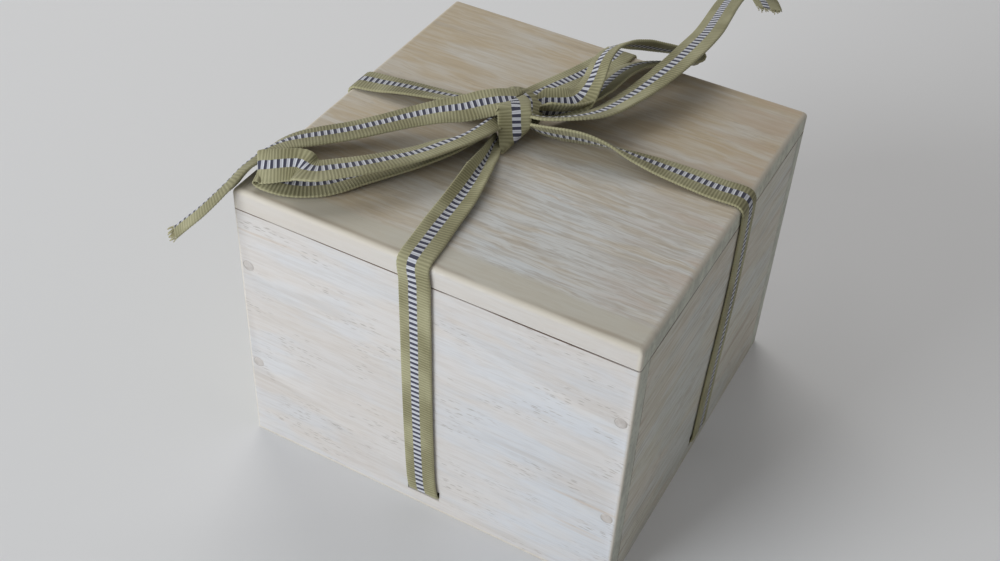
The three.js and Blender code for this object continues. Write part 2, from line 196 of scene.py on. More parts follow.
class Sheet:
    # one material and the one way that nodes are put on its sheet
    def __init__(self, name):
        self.material = bpy.data.materials.new(name)
        self.material.use_nodes = True
        self.tree = self.material.node_tree
        self.shader = self.tree.nodes["Principled BSDF"]

    def node(self, kind, settings, sockets=(), output=0):
        made = self.tree.nodes.new("ShaderNode" + kind)
        setUp(made, settings, sockets, self.feed)
        return Wire(self, made.outputs[output])

    def feed(self, socket, value):
        if isinstance(value, Wire):
            self.tree.links.new(value.socket, socket)
        elif socket.type == "RGBA":
            socket.default_value = (*value, 1)
        else:
            socket.default_value = value

    def mix(self, share, first, second):
        return self.node("Mix", {"data_type": "RGBA"}, {0: share, 6: first, 7: second}, 2)

    def parts(self, vector):
        split = self.node("SeparateXYZ", {}, [vector])
        return [Wire(self, output) for output in split.socket.node.outputs]

    def stretch(self, place, factors):
        return self.node("VectorMath", {"operation": "MULTIPLY"}, [place, factors])

    def noise(self, place, factors, detail=2.0, roughness=0.5):
        return self.node(
            "TexNoise", {},
            {"Vector": self.stretch(place, factors), "Scale": 1.0, "Detail": detail, "Roughness": roughness},
        )

    def finish(self, **sockets):
        for name, value in sockets.items():
            self.feed(self.shader.inputs[name.replace("_", " ")], value)
        return self.material


# Woven cord: a finish that reads how far along and how far across the ribbon a point is

cordLook = {
    "width": 0.0112,
    "thickness": 0.00095,
    "gap": 0.0003,
    "ribPitch": 0.00105,
    "stepsPerRib": 4,
    "relief": 0.00006,
    "olive": (0.228, 0.21, 0.108),
    "oliveLight": (0.43, 0.408, 0.25),
    # the next colour and share give painted shade in the rib grooves
    "oliveGrooveShade": (0.092, 0.084, 0.038),
    "grooveShadeShare": 0.34,
    "stripeLight": (0.72, 0.73, 0.78),
    "stripeDark": (0.055, 0.056, 0.085),
    "stripeMiddleShare": 0.455,
    "stripeHalfShare": 0.13,
    "selvedgeShare": 0.035,
    "stripeSoftShare": 0.012,
    "jagShare": 0.03,
    "threadsAcross": 34,
    "tintScale": (60, 60, 60),
    "mottleScale": (900, 900, 900),
    "tintShares": (0.35, 0.7),
    # painted shade in the rib grooves across the stripe's bars
    "barShares": (0.27, 0.21),
    "barGrooveShadeShare": 0.35,
    "barsPerRib": 0.5,
    "barStart": 0.25,
    "threadStep": (0.49, 0.51),
    # how much the mottle and the threads give to the painted highlight on the rib crests
    "crestMottle": 0.5,
    "crestThread": 0.2,
    "ribHeight": 0.6,
    "threadHeight": 0.12,
    "mottleHeight": 0.25,
    # painted highlight along both edges of the ribbon
    "selvedgeHighlight": 0.7,
    "bumpStrength": 0.55,
    "bumpDepth": 0.0001,
    "roughness": 0.82,
    "sheen": 0.15,
    "gloss": 0.3,
}


def cordFinish():
    look = cordLook
    sheet = Sheet("wovenCord")
    place = sheet.node("TexCoord", {}, (), "Object")
    run = sheet.node("Attribute", {"attribute_name": "run"}, (), "Fac")
    share = sheet.node("Attribute", {"attribute_name": "share"}, (), "Fac")
    ribs = run / look["ribPitch"]
    crest = ribs.wave()
    bar = (ribs * look["barsPerRib"] + look["barStart"]).fraction()
    tint = sheet.noise(place, look["tintScale"], 2)
    mottle = sheet.noise(place, look["mottleScale"], 2)
    threads = share * look["threadsAcross"] + bar.between(*look["threadStep"]) * 0.5
    thread = threads.wave()
    edge = abs(share - 0.5).between(0.5 - look["selvedgeShare"], 0.5)

    cloth = sheet.mix(tint.between(*look["tintShares"]), look["olive"], look["oliveLight"])
    # painted highlight on the rib crests, broken by mottle and threads
    crestHighlight = (mottle * look["crestMottle"] + thread * look["crestThread"]) * crest
    cloth = sheet.mix(crestHighlight, cloth, look["oliveLight"])
    # painted shade in the rib grooves
    cloth = sheet.mix((1 - crest) * look["grooveShadeShare"], cloth, look["oliveGrooveShade"])
    white = abs(bar - 0.5).between(*look["barShares"])
    bars = sheet.mix(white, look["stripeDark"], look["stripeLight"])
    # painted shade in the rib grooves, on the stripe's bars too
    bars = sheet.mix((1 - crest) * look["barGrooveShadeShare"], bars, look["stripeDark"])
    within = abs(share - look["stripeMiddleShare"] + (mottle - 0.5) * look["jagShare"])
    halfShare, softShare = look["stripeHalfShare"], look["stripeSoftShare"]
    stripe = within.between(halfShare + softShare, halfShare - softShare)
    colour = sheet.mix(stripe, cloth, bars)
    # painted highlight along both edges of the ribbon
    colour = sheet.mix(edge * look["selvedgeHighlight"], colour, look["oliveLight"])
    height = crest * look["ribHeight"] + thread * look["threadHeight"] + mottle * look["mottleHeight"]
    bump = sheet.node(
        "Bump", {}, {"Strength": look["bumpStrength"], "Distance": look["bumpDepth"], "Height": height}
    )
    return sheet.finish(
        Base_Color=colour, Roughness=look["roughness"], Normal=bump,
        Sheen_Weight=look["sheen"], Specular_IOR_Level=look["gloss"],
    )


wovenCord = cordFinish()

# The cord's runs: stations chosen one by one, each with the place of the ribbon's middle (x, y and
# height above the lid, in millimetres), the compass and tilt angles of the line across it, and
# its fold where it has one, all in degrees

millimetre = 0.001
frontRun = [
    (-11.8, -4.2, 1.8, -8, -32, 42), (-11.1, -8.8, 1.8, -4, -32, 42), (-9.9, -13.2, 1.8, 0, -26, 44),
    (-8.2, -20.6, 1.7, 4, -8, 44), (-6.9, -28.3, 1.4, 8, 0, 34), (-5.8, -39.3, 1.1, 9, 0, 18),
    (-5.2, -50.8, 0.9, 7, 0, 8), (-4.4, -60, 0.9, 4, 0),
]
rightRun = [
    (-9, 5.2, 4.2, -70, 34), (-4, 3.8, 4.6, -76, 44), (-0.2, 3.2, 5.1, -78, 52),
    (6, 3.6, 5.6, -78, 54), (14, 5.6, 5.7, -80, 52), (22, 7.4, 4.9, -84, 42),
    (31, 8.8, 3.1, -88, 23), (40, 9.8, 1.9, -90, 10), (50, 10.1, 1.3, -90, 3),
    (60, 10.1, 0.9, -90, 0),
]
leftRun = [
    (-20, 8.8, 4.2, -86, 24), (-31, 7.6, 3.4, -84, 22), (-39.5, 6.6, 2.7, -82, 18),
    (-47, 5.4, 2.4, -82, 14), (-54.3, 4.4, 1.9, -84, 9), (-60.5, 3.5, 1.3, -86, 3),
]
backRun = [
    (-14.2, 6, 3.6, -18, 0), (-13.6, 12, 3.2, -18, 0), (-12.4, 24, 2.2, -18, 4),
    (-9.8, 33.8, 1.4, -22, 4), (-5.8, 44.9, 0.9, -22, 0), (-2.4, 55.6, 0.9, -12, 0),
    (-1, 60, 0.9, -6, 0),
]
leftTail = [
    (-11.9, 4.8, 11.2, -102, 6), (-13.8, 3.1, 11.4, -79, -7), (-15.8, 1.3, 11.4, -62, -15),
    (-19.7, -2.1, 10.9, -57, -18), (-23.4, -5.6, 10.1, -58, -15), (-29.9, -10.2, 9.2, -57, -7),
    (-36.5, -15.5, 7.9, -54, -1), (-42.5, -21.4, 6.8, -50, 4), (-50.8, -30, 5.6, -46, 6),
    (-58, -36.4, 4.8, -45, 6), (-63.6, -41, 4.2, -44, 10, -4), (-67.1, -44.7, 3.8, -44, 18, -10),
    (-69.6, -48.9, 3.3, -44, 28, -18), (-71, -53.8, 2.7, -44, 35, -24),
    (-71.6, -58.6, 2.3, -40, 41, -26), (-71.9, -63, 1.8, -40, 47, -26), (-72.6, -67, 0.2, -42, 44, -26),
    (-74.5, -70.2, -2.4, -44, 38, -26), (-78.6, -74.7, -7.6, -46, 32, -25),
    (-83.6, -78.7, -13, -45, 27, -22), (-85.1, -80.2, -14.7, -44, 24, -18),
]
leftLoop = [
    (-14.1, 4.3, 7.4, -52, 18, -44), (-14.7, -0.9, 8, -50, 24, -52), (-15.4, -6.5, 8.3, -48, 25, -46),
    (-16.3, -12.7, 8.4, -46, 24, -28), (-17.8, -18.4, 8.4, -44, 20, -14),
    (-20, -23.5, 8.3, -42, 16, -4), (-23.7, -32.4, 8.8, -40, 15), (-29, -40.5, 9.2, -40, 12),
    (-35.5, -48.4, 9.3, -44, 8), (-41.9, -54.6, 9.2, -51, 5), (-45.5, -57.5, 9, -55, 3),
    (-49.4, -58.2, 8.7, -57, -3), (-52.2, -57, 8.2, -58, -25), (-56.5, -58.4, 7.4, -58, -28),
    (-61.3, -60.5, 6.2, -60, -34), (-65.4, -61.2, 4.8, -58, -36),
    (-64.2, -60.6, 3.3, -58, -26), (-59.8, -60.6, 2.2, -58, -13), (-53, -58.8, 1.6, -55, -8),
    (-45.5, -53.4, 1.4, -50, -4), (-40, -46, 1.5, -44, 4), (-34, -37.8, 1.9, -38, 8),
    (-27.5, -28.5, 2.4, -36, 12), (-21.4, -18.5, 3.1, -40, 18), (-17.6, -10.3, 4, -42, 22),
    (-14.2, -3.1, 5.2, -46, 20), (-11.8, 1.8, 6, -50, 16),
]
rightTail = [
    (-9.5, 6.2, 7, -66, 28), (-1.3, 6.1, 7.7, -63, 30), (6.8, 9.5, 8.7, -60, 29),
    (14.3, 17.7, 8.7, -42, 22), (18.6, 30.5, 8.6, -24, 19), (22.3, 41.4, 10.3, -14, 16),
    (25.4, 52.8, 12.4, -8, 14), (27.2, 65, 13.6, -4, 13), (27.8, 75.5, 13.8, -2, 17),
    (27, 86, 13.4, 0, 22), (25.8, 96.5, 12.6, 1, 24), (25, 107, 11.5, 1, 23),
    (25.4, 117.5, 9.2, 0, 18), (27.4, 126.5, 5.4, -2, 12), (29.8, 132.6, 0.8, -4, 8),
    (31.4, 136.4, -4.4, -6, 6),
]
rightLoop = [
    (-7.8, 14.2, 6.6, -62, -34), (-1.6, 17.2, 6.8, -62, -34), (4, 21.6, 7.4, -57, -25),
    (5.4, 28.2, 10.6, -36, 14), (4.2, 39, 14.4, -38, 27), (4.6, 45.5, 15.2, -48, 30),
    (6.8, 52.2, 14.4, -58, 38), (10, 58.7, 11.9, -62, 45), (13.8, 65.2, 8.8, -62, 44),
    (18.2, 70.8, 6.2, -62, 42), (23.2, 74.6, 4.6, -62, 40), (27, 76, 3.4, -62, 39),
    (26.6, 74.2, 2.5, -60, 37), (22.2, 69, 3.3, -50, 33), (15.8, 63.6, 3.9, -38, 28),
    (10.6, 57, 4.6, -28, 24), (8, 49.5, 4.9, -20, 22), (6.8, 41, 4.6, -18, 22),
    (6.6, 33.4, 4.3, -28, 27), (6.8, 26.8, 4.6, -46, 38), (5.1, 20.4, 5.2, -60, 46),
    (2.3, 15.9, 5.9, -70, 53), (-0.9, 12.8, 6.5, -76, 62), (-4.6, 10.8, 6.8, -80, 66),
]
wrapRun = [
    (-11.9, 4.8, 11.2, -106, 6), (-10.4, 3.4, 11.8, -121, 5), (-8.7, 0.4, 12.2, -145, 0),
    (-7.9, -0.3, 10.5, -147, -1), (-7.3, -1.3, 8.2, -139, -4), (-6.3, -2.7, 6.2, -128, -12),
    (-5.2, -4.2, 4.2, -116, -22), (-5.1, -4.2, 2.8, -110, -25), (-6.4, -2.2, 2.2, -108, -18),
    (-8.5, 0.2, 1.8, -106, -8), (-11, 1, 1.6, -104, 0),
]
turnRun = [
    (-17.2, 9.8, 9, -66, 14), (-15.5, 11.8, 9.4, -72, 15), (-13, 12.8, 9.2, -88, 16),
    (-10.4, 12, 8.7, -116, 17), (-8.8, 10.1, 8.1, -140, 18), (-7.9, 7.8, 7.3, -160, 20),
    (-7.6, 5.4, 6.3, -177, 22), (-8.1, 3.2, 5, -188, 24),
]


def acrossLine(azimuth, elevation):
    turn, tilt = math.radians(azimuth), math.radians(elevation)
    return (math.cos(tilt) * math.cos(turn), math.cos(tilt) * math.sin(turn), math.sin(tilt))


def onLid(run):
    return [
        ((x * millimetre, y * millimetre, lidTop + height * millimetre), acrossLine(turn, tilt), sum(fold))
        for x, y, height, turn, tilt, *fold in run
    ]


slotLook = {
    "floor": 0.005,
    "frontShift": 0.0003,
    "sideShift": 0.0048,
    "bendRadius": 0.0023,
    "crossingReach": 0.03,
    "underside": 0.0095,
    "endDrop": 0.0004,
    "sideDrop": 0.0025,
    "lidEdgeRadius": 0.0018,
    "bendSteps": 3,
}
# a side's outward direction, the direction along it, and where its face and its slot are
alongX = {"along": (1, 0), "across": (1, 0, 0), "half": halfDepth}
alongY = {"along": (0, 1), "across": (0, -1, 0), "half": halfWidth}
boxSides = {
    "front": {"out": (0, -1), "slotAt": slotLook["frontShift"], **alongX},
    "back": {"out": (0, 1), "slotAt": 0.0, **alongX},
    "left": {"out": (-1, 0), "slotAt": slotLook["sideShift"], **alongY},
    "right": {"out": (1, 0), "slotAt": slotLook["sideShift"], **alongY},
}
# where a run crosses the lid's edge and the seam, along the side
crossings = {
    "front": (-0.0038, -0.0031),
    "back": (-0.0006, -0.0003),
    "left": (0.0026, 0.0026),
    "right": (0.0106, 0.0119),
}
# heights on a wall, as shares of the seam's, and how much of its way aside to the slot a run
# still has at each
leanHeightShares = (0.98, 0.79, 0.6, 0.34, 0.12)
leanShares = {
    "front": (1, 0.88, 0.76, 0.53, 0.2),
    "back": (1, 0.9, 0.7, 0.4, 0.1),
    "left": (1, 0.8, 0.6, 0.3, 0.1),
    "right": (1, 1.05, 0.86, 0.35, 0.06),
}
offFace = cordLook["gap"] + cordLook["thickness"] / 2


def sideStation(side, reach, along, z):
    x = side["out"][0] * reach + side["along"][0] * along
    y = side["out"][1] * reach + side["along"][1] * along
    return ((x, y, z), side["across"], 0)


def overEdge(name):
    side, (alongTop, alongSeam) = boxSides[name], crossings[name]
    radius = slotLook["lidEdgeRadius"] + offFace
    stations = []
    for i in range(slotLook["bendSteps"] + 1):
        angle = i / slotLook["bendSteps"] * math.pi / 2
        reach = side["half"] - slotLook["lidEdgeRadius"] + radius * math.sin(angle)
        z = lidTop - slotLook["lidEdgeRadius"] + radius * math.cos(angle)
        stations.append(sideStation(side, reach, alongTop, z))
    stations.append(sideStation(side, side["half"] + offFace, alongSeam, seamHeight))
    return stations


def downWall(name):
    side, seamAt = boxSides[name], crossings[name][1]
    reach = side["half"] + offFace
    floor = slotLook["floor"] + cordLook["gap"] + cordLook["thickness"] / 2
    stations = []
    for heightShare, share in zip(leanHeightShares, leanShares[name]):
        along = side["slotAt"] + (seamAt - side["slotAt"]) * share
        stations.append(sideStation(side, reach, along, heightShare * seamHeight))
    for i in range(slotLook["bendSteps"] + 1):
        angle = i / slotLook["bendSteps"] * math.pi / 2
        z = floor + slotLook["bendRadius"] * (1 - math.sin(angle))
        inward = reach - slotLook["bendRadius"] * (1 - math.cos(angle))
        stations.append(sideStation(side, inward, side["slotAt"], z))
    stations.append(sideStation(side, side["half"] - wallThickness, side["slotAt"], floor))
    return stations


def roundBox(firstRun, first, second, secondRun, drop):
    z = slotLook["underside"] - offFace - drop
    under = [sideStation(boxSides[name], slotLook["crossingReach"], boxSides[name]["slotAt"], z)
             for name in (first, second)]
    outward = onLid(firstRun) + overEdge(first) + downWall(first)
    back = onLid(secondRun) + overEdge(second) + downWall(second)
    return outward + under + back[::-1]


def throughPoints(points, places):
    # the smooth curve through the points, at places counted in points
    points = np.array(points, float)
    points = np.vstack([2 * points[0] - points[1], points, 2 * points[-1] - points[-2]])
    gaps = np.maximum(np.linalg.norm(np.diff(points, axis=0), axis=1) ** 0.5, 1e-6)
    i = np.minimum(places.astype(int), len(points) - 4)
    w = (places - i)[:, None]
    p0, p1, p2, p3 = (points[i + k] for k in range(4))
    d0, d1, d2 = (gaps[i + k][:, None] for k in range(3))
    m1 = ((p1 - p0) / d0 - (p2 - p0) / (d0 + d1) + (p2 - p1) / d1) * d1
    m2 = ((p2 - p1) / d1 - (p3 - p1) / (d1 + d2) + (p3 - p2) / d2) * d1
    return p1 + m1 * w + (3 * (p2 - p1) - 2 * m1 - m2) * w**2 + (2 * (p1 - p2) + m1 + m2) * w**3


def softened(values, spread):
    # a running mean, weighted to its middle, with both ends held in place
    reach = 3 * spread
    before = 2 * values[:1] - values[1:reach + 1][::-1]
    after = 2 * values[-1:] - values[-reach - 1:-1][::-1]
    padded = np.vstack([before, values, after])
    weights = np.exp(-0.5 * (np.arange(-reach, reach + 1) / spread) ** 2)
    weights /= weights.sum()
    return np.array([np.convolve(column, weights, "valid") for column in padded.T]).T


def unit(vectors):
    return vectors / np.linalg.norm(vectors, axis=1)[:, None]


lineLook = {
    "finePerStation": 200,
    "leastPoints": 8,
    "softening": 0.001,
    "mostLean": 1.1,
    "leanFade": 1.5,
}


def ribbonLine(stations, mitred=(0, 0)):
    # evenly spaced middles, across lines, face lines and folds along a run; within the reaches
    # in mitred from its start and its end the across line may lean along the run
    count = len(stations)
    fine = np.linspace(0, count - 1, count * lineLook["finePerStation"])
    middles = throughPoints([s[0] for s in stations], fine)
    acrosses = throughPoints([s[1] for s in stations], fine)
    folds = np.interp(fine, range(count), [s[2] for s in stations])
    length = np.concatenate([[0], np.cumsum(np.linalg.norm(np.diff(middles, axis=0), axis=1))])
    step = cordLook["ribPitch"] / cordLook["stepsPerRib"]
    run = np.linspace(0, length[-1], max(lineLook["leastPoints"], round(length[-1] / step)))
    even = np.array([np.interp(run, length, c) for c in np.column_stack([middles, acrosses, folds]).T]).T
    spread = max(1, round(lineLook["softening"] / step))
    if len(run) > 6 * spread + 2:
        even = softened(even, spread)
    middles, acrosses, folds = even[:, :3], even[:, 3:6], even[:, 6]
    tangents = unit(np.gradient(middles, axis=0))
    leans = (acrosses * tangents).sum(1)
    square = acrosses - tangents * leans[:, None]
    run = np.concatenate([[0], np.cumsum(np.linalg.norm(np.diff(middles, axis=0), axis=1))])
    kept = np.zeros(len(run))
    for reach, gone in zip(mitred, (run, run[-1] - run)):
        if reach:
            kept = np.maximum(kept, np.clip(lineLook["leanFade"] - gone / reach, 0, 1))
    most = lineLook["mostLean"]
    slopes = np.clip(leans / np.linalg.norm(square, axis=1) * kept, -most, most)
    acrosses = unit(square)
    return {
        "middle": middles, "across": acrosses, "face": np.cross(tangents, acrosses), "ahead": tangents,
        "slope": slopes, "fold": np.radians(folds), "run": run,
    }


sectionLook = {"faceSteps": 14, "foldSoftness": 0.0007, "edgeRound": 0.72, "gatheredShare": 0.45}


def ribbonSection():
    # reach across the ribbon and lift off its middle, round both faces
    half, lift = cordLook["width"] / 2, cordLook["thickness"] / 2
    flat = half - lift * sectionLook["edgeRound"]
    across = np.linspace(flat, -flat, sectionLook["faceSteps"] + 1)
    top = [(reach, lift) for reach in across]
    edge = [(-flat - (half - flat) * math.sin(a), lift * math.cos(a)) for a in (math.pi / 4, math.pi / 2)]
    edge.append((-flat - (half - flat) * math.sin(math.pi / 4), -lift * math.cos(math.pi / 4)))
    side = top + edge
    return side + [(-reach, -rise) for reach, rise in side]


def gathered(run, reaches):
    # how much of its width the ribbon keeps, where its ends are gathered inside the knot
    keep = np.ones(len(run))
    for reach, gone in zip(reaches, (run, run[-1] - run)):
        if reach:
            share = np.clip(gone / reach, 0, 1)
            keep = np.minimum(keep, sectionLook["gatheredShare"] + (1 - sectionLook["gatheredShare"]) * share)
    return keep


def sweepRibbon(name, stations, mitred=(0, 0), gather=(0, 0)):
    line = ribbonLine(stations, mitred=mitred)
    section = np.array(ribbonSection())
    reach, lift = section[:, 0][None, :], section[:, 1][None, :]
    reach = reach * gathered(line["run"], gather)[:, None]
    fold = line["fold"][:, None]
    soft = sectionLook["foldSoftness"]
    spread = np.sqrt(reach**2 + soft**2)
    upward = np.where(line["face"][:, 2] < 0, -1.0, 1.0)[:, None]
    sideways = reach * np.cos(fold) - (reach / spread) * lift * np.sin(fold) * upward
    outward = (spread - soft) * np.sin(fold) * upward + lift * np.cos(fold)
    points = (
        line["middle"][:, None, :]
        + sideways[:, :, None] * line["across"][:, None, :]
        + outward[:, :, None] * line["face"][:, None, :]
        + (sideways * line["slope"][:, None])[:, :, None] * line["ahead"][:, None, :]
    )
    rings, around = points.shape[:2]
    index = np.arange(rings * around).reshape(rings, around)
    ahead = np.roll(index, -1, axis=1)
    quads = np.stack([index[:-1], ahead[:-1], ahead[1:], index[1:]], -1).reshape(-1, 4)
    mesh = bpy.data.meshes.new(name)
    mesh.from_pydata(
        points.reshape(-1, 3).tolist(), [], quads.tolist() + [index[0, ::-1].tolist(), index[-1].tolist()]
    )
    runs = (line["run"][:, None] + sideways * line["slope"][:, None]).reshape(-1)
    shares = np.tile(0.5 + section[:, 0] / cordLook["width"], rings)
    for label, values in (("run", runs), ("share", shares)):
        layer = mesh.attributes.new(label, "FLOAT", "POINT")
        layer.data.foreach_set("value", values.astype(np.float32))
    mesh.polygons.foreach_set("use_smooth", [True] * len(mesh.polygons))
    mesh.materials.append(wovenCord)
    return shown(name, mesh), line


# Geometry Nodes


class Graph:
    # a modifier's node tree with named inputs, and the one way that nodes are put in it
    def __init__(self, name, inputs):
        self.tree = bpy.data.node_groups.new(name, "GeometryNodeTree")
        sockets = self.tree.interface
        sockets.new_socket("Geometry", in_out="INPUT", socket_type="NodeSocketGeometry")
        self.ids = {}
        for label, kind in inputs.items():
            made = sockets.new_socket(label, in_out="INPUT", socket_type="NodeSocket" + kind)
            self.ids[label] = made.identifier
        sockets.new_socket("Geometry", in_out="OUTPUT", socket_type="NodeSocketGeometry")
        self.source = self.tree.nodes.new("NodeGroupInput")
        self.end = self.tree.nodes.new("NodeGroupOutput")

    def value(self, label):
        return self.source.outputs[label]

    def node(self, kind, settings, sockets=(), output=0):
        made = self.tree.nodes.new(kind)
        setUp(made, settings, sockets, self.feed)
        return made.outputs[output]

    def feed(self, socket, value):
        if isinstance(value, bpy.types.NodeSocket):
            self.tree.links.new(value, socket)
        else:
            socket.default_value = value

    def maths(self, operation, *values):
        return self.node("ShaderNodeMath", {"operation": operation}, values)

    def scaled(self, vector, factor):
        return self.node("ShaderNodeVectorMath", {"operation": "SCALE"}, {0: vector, "Scale": factor})

    def attribute(self, name, kind):
        return self.node("GeometryNodeInputNamedAttribute", {"data_type": kind}, {"Name": name})

    def scattered(self, instance, aim, **more):
        # the instance at each point, with its Z turned to the aim
        turned = self.node("FunctionNodeAlignRotationToVector", {"axis": "Z"}, {"Vector": aim})
        return self.node(
            "GeometryNodeInstanceOnPoints", {},
            {"Points": self.value("Geometry"), "Instance": instance, "Rotation": turned, **more},
        )

    def close(self, geometry, material):
        real = self.node("GeometryNodeRealizeInstances", {}, {"Geometry": geometry})
        done = self.node("GeometryNodeSetMaterial", {}, {"Geometry": real, "Material": material})
        self.tree.links.new(done, self.end.inputs[0])
        return self

    def applyTo(self, piece, **values):
        modifier = piece.modifiers.new(self.tree.name, "NODES")
        modifier.node_group = self.tree
        for label, value in values.items():
            modifier[self.ids[label]] = value
        return applied(piece, modifier)


def ribGraph():
    # raises a rib round the ribbon at each pitch along its run
    graph = Graph("ribs", {"Pitch": "Float", "Relief": "Float", "Finish": "Material"})
    run = graph.attribute("run", "FLOAT")
    turns = graph.maths("DIVIDE", run, graph.value("Pitch"))
    wave = graph.maths("COSINE", graph.maths("MULTIPLY", turns, 2 * math.pi))
    lift = graph.maths("MULTIPLY", wave, graph.value("Relief"))
    normal = graph.node("GeometryNodeInputNormal", {})
    moved = graph.node(
        "GeometryNodeSetPosition", {},
        {"Geometry": graph.value("Geometry"), "Offset": graph.scaled(normal, lift)},
    )
    return graph.close(moved, graph.value("Finish"))


ribs = ribGraph()
cordPieces = {}


def cordRun(name, stations, **words):
    piece, line = sweepRibbon(name, stations, **words)
    ribs.applyTo(piece, Pitch=cordLook["ribPitch"], Relief=cordLook["relief"], Finish=wovenCord)
    cordPieces[name] = (piece, line)


frontBack = roundBox(frontRun, "front", "back", backRun, slotLook["endDrop"])
leftRight = roundBox(leftRun, "left", "right", rightRun, slotLook["sideDrop"])
cordRun("strapFrontBack", frontBack, gather=(0.02, 0.004))
cordRun("strapLeftRight", leftRight, gather=(0.004, 0.018))
cordRun("loopLeft", onLid(leftLoop), gather=(0.006, 0.006))
cordRun("loopRight", onLid(rightLoop), gather=(0.003, 0.003))
cordRun("tailLeft", onLid(leftTail), mitred=(0.01, 0))
cordRun("tailRight", onLid(rightTail), gather=(0.009, 0))
cordRun("knotWrap", onLid(wrapRun), mitred=(1, 1))
cordRun("knotTurn", onLid(turnRun), gather=(0.003, 0.003))
print("cord made:", {name: round(float(line["run"][-1]), 4) for name, (piece, line) in cordPieces.items()})


# Loose threads at the cut ends of both tails

frayLook = {
    "threads": 70,
    "length": 0.0025,
    "thickness": 0.00017,
    "bend": 0.0006,
    "spread": 0.42,
    "back": 0.0008,
    "stray": 0.0001,
    "reachShare": 0.46,
    "liftShare": 0.4,
    "smallest": 0.55,
    "largest": 1.25,
    "steps": 5,
    "sides": 5,
    "tintScale": (700, 700, 700),
    "tintShares": (0.35, 0.65),
    "roughness": 0.85,
    "colour": (0.5, 0.47, 0.3),
    "colourDeep": (0.33, 0.3, 0.17),
}


def threadFinish():
    sheet = Sheet("looseThread")
    place = sheet.node("TexCoord", {}, (), "Object")
    tint = sheet.noise(place, frayLook["tintScale"], 2).between(*frayLook["tintShares"])
    colour = sheet.mix(tint, frayLook["colour"], frayLook["colourDeep"])
    return sheet.finish(Base_Color=colour, Roughness=frayLook["roughness"])


def frayGraph():
    # a short bent thread at each point, turned to the point's heading and scattered round it
    graph = Graph("fray", {
        "Length": "Float", "Bend": "Float", "Thickness": "Float", "Spread": "Float", "Seed": "Int",
        "Finish": "Material",
    })
    half = graph.maths("MULTIPLY", graph.value("Length"), 0.5)
    bowed = graph.node("ShaderNodeCombineXYZ", {}, {"X": graph.value("Bend"), "Z": half})
    tip = graph.node("ShaderNodeCombineXYZ", {}, {"Z": graph.value("Length")})
    line = graph.node(
        "GeometryNodeCurveQuadraticBezier", {},
        {"Resolution": frayLook["steps"], "Start": (0, 0, 0), "Middle": bowed, "End": tip},
    )
    ring = graph.node(
        "GeometryNodeCurvePrimitiveCircle", {},
        {"Resolution": frayLook["sides"], "Radius": graph.value("Thickness")},
    )
    thread = graph.node(
        "GeometryNodeCurveToMesh", {}, {"Curve": line, "Profile Curve": ring, "Fill Caps": True}
    )
    wide, seed = graph.value("Spread"), graph.value("Seed")
    low, high = graph.scaled((-1, -1, -1), wide), graph.scaled((1, 1, 1), wide)
    stray = graph.node(
        "FunctionNodeRandomValue", {"data_type": "FLOAT_VECTOR"}, {0: low, 1: high, "Seed": seed}
    )
    heading = graph.attribute("heading", "FLOAT_VECTOR")
    aim = graph.node("ShaderNodeVectorMath", {"operation": "ADD"}, [heading, stray])
    size = graph.node(
        "FunctionNodeRandomValue", {"data_type": "FLOAT"},
        {2: frayLook["smallest"], 3: frayLook["largest"], "Seed": seed}, 1,
    )
    return graph.close(graph.scattered(thread, aim, Scale=size), graph.value("Finish"))


fray = frayGraph()
looseThread = threadFinish()


def headedPoints(name, points, headings):
    # loose points, each with the direction that what stands on it is turned to
    mesh = bpy.data.meshes.new(name)
    mesh.from_pydata(points, [], [])
    layer = mesh.attributes.new("heading", "FLOAT_VECTOR", "POINT")
    layer.data.foreach_set("vector", np.array(headings, float).ravel())
    return shown(name, mesh)


def frayEnd(name, line, seed):
    dice = np.random.default_rng(seed)
    count = frayLook["threads"]
    share = frayLook["reachShare"]
    reach = np.linspace(-share, share, count) * cordLook["width"] + dice.normal(0, frayLook["stray"], count)
    fold = line["fold"][-1]
    upward = -1.0 if line["face"][-1, 2] < 0 else 1.0
    lift = dice.uniform(-frayLook["liftShare"], frayLook["liftShare"], count) * cordLook["thickness"]
    points = (
        line["middle"][-1]
        + (reach * math.cos(fold))[:, None] * line["across"][-1]
        + (np.abs(reach) * math.sin(fold) * upward + lift)[:, None] * line["face"][-1]
        - dice.uniform(0, frayLook["back"], count)[:, None] * line["ahead"][-1]
    )
    piece = headedPoints(name, points.tolist(), np.tile(line["ahead"][-1], count))
    fray.applyTo(
        piece, Length=frayLook["length"], Bend=frayLook["bend"], Thickness=frayLook["thickness"],
        Spread=frayLook["spread"], Seed=seed, Finish=looseThread,
    )
    return assigned(piece, "lid", "woven_cord")


frays = {
    "tailLeft": frayEnd("frayLeft", cordPieces["tailLeft"][1], 3),
    "tailRight": frayEnd("frayRight", cordPieces["tailRight"][1], 8),
}
print("frayed ends made")

# Where each piece of cord moves, and what it stands for

straps = {
    "strapFrontBack": ("cord_top_front", "cord_top_back", "cord_pass_front_back"),
    "strapLeftRight": ("cord_top_left", "cord_top_right", "cord_pass_left_right"),
}
for name, nodes in straps.items():
    piece = cordPieces[name][0]
    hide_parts(*nodes)
    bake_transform(piece)

freeCords = {
    "loopLeft": ("cord_loop_left", "object"),
    "loopRight": ("cord_loop_right", "object"),
    "tailLeft": ("cord_tail_left", "bare"),
    "tailRight": ("cord_tail_right", "bare"),
}
for name, (node, farEnd) in freeCords.items():
    piece, line = cordPieces[name]
    assigned(piece, "lid", "woven_cord", node)
    [frays[name]] if name in frays else []
knotPieces = {"knotWrap": "cord_wrap", "knotTurn": "cord_knot"}
for name, node in knotPieces.items():
    assigned(cordPieces[name][0], "lid", "woven_cord", node)

# Wood

